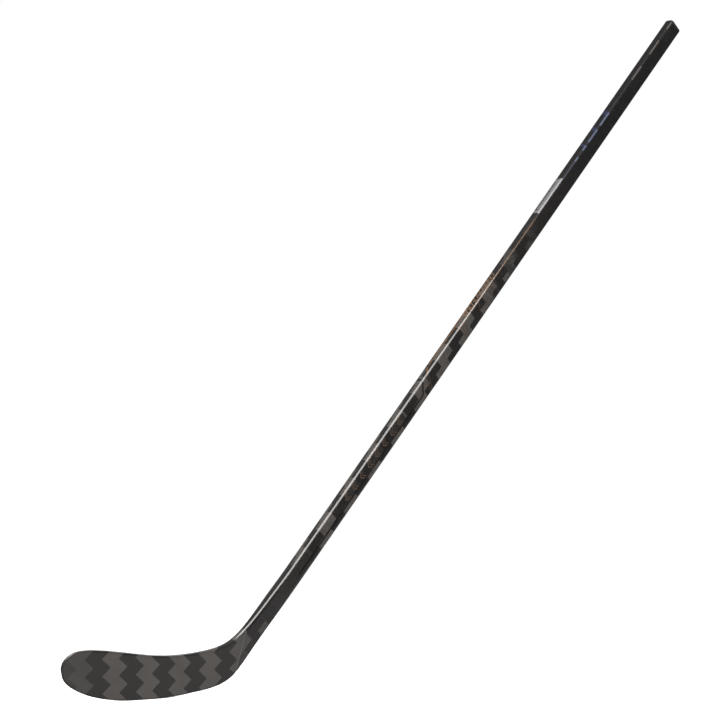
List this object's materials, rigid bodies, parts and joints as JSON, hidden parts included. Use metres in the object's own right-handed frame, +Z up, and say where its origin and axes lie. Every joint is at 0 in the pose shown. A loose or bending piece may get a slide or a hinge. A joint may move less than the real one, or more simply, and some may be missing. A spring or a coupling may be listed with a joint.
{
  "type": "ice hockey stick",
  "caption": "Left-handed one-piece composite ice hockey stick with a hollow tapered shaft, a curved foam-cored blade and a butt end plug that pulls out.",
  "frame": {"origin": "middle of the stretch of the blade's lower edge that touches the ice, in the playing stance", "axes": "+X along the ice from the blade's toe to its heel, so the shaft rises towards +X; +Y the way the forehand face looks, the side the blade curves to; +Z up"},
  "size_m": [1.3559, 0.0271, 1.1415],
  "materials": {
    "carbon_outer": "clear-coated dark carbon weave with lighter blocks and bands",
    "carbon_wrap": "clear-coated carbon wrap",
    "carbon_laminate": "uncoated carbon laminate",
    "foam": "cut closed-cell foam",
    "resin": "cured epoxy",
    "damper": "moulded damping pad",
    "plug": "moulded matt black",
    "hot_melt": "translucent hot-melt glue",
    "foil": "brushed silver foil"
  },
  "bodies": {
    "stick": {"shaft_tube": "carbon_laminate", "shaft_outer_ply": "carbon_outer", "foam_dam": "foam", "foil_label": "foil", "joint_wrap": "carbon_wrap", "hosel_tenon": "carbon_laminate", "tenon_foam_core": "foam", "tenon_adhesive": "resin", "heel_block": "resin", "blade_ply_forehand": "carbon_outer", "blade_ply_backhand": "carbon_outer", "blade_skin_forehand": "carbon_laminate", "blade_skin_backhand": "carbon_laminate", "blade_rim": "resin", "foam_core_upper": "foam", "foam_core_lower": "foam", "spine_rib": "carbon_laminate", "toe_insert": "damper"},
    "butt_plug": {"butt_plug": "plug", "plug_glue_band": "hot_melt"}
  },
  "joints": [
    {"name": "plug_pull", "type": "slide", "parent": "stick", "child": "butt_plug", "axis": [0.6896, 0, 0.7242], "range_m": [0, 0.06]}
  ]
}
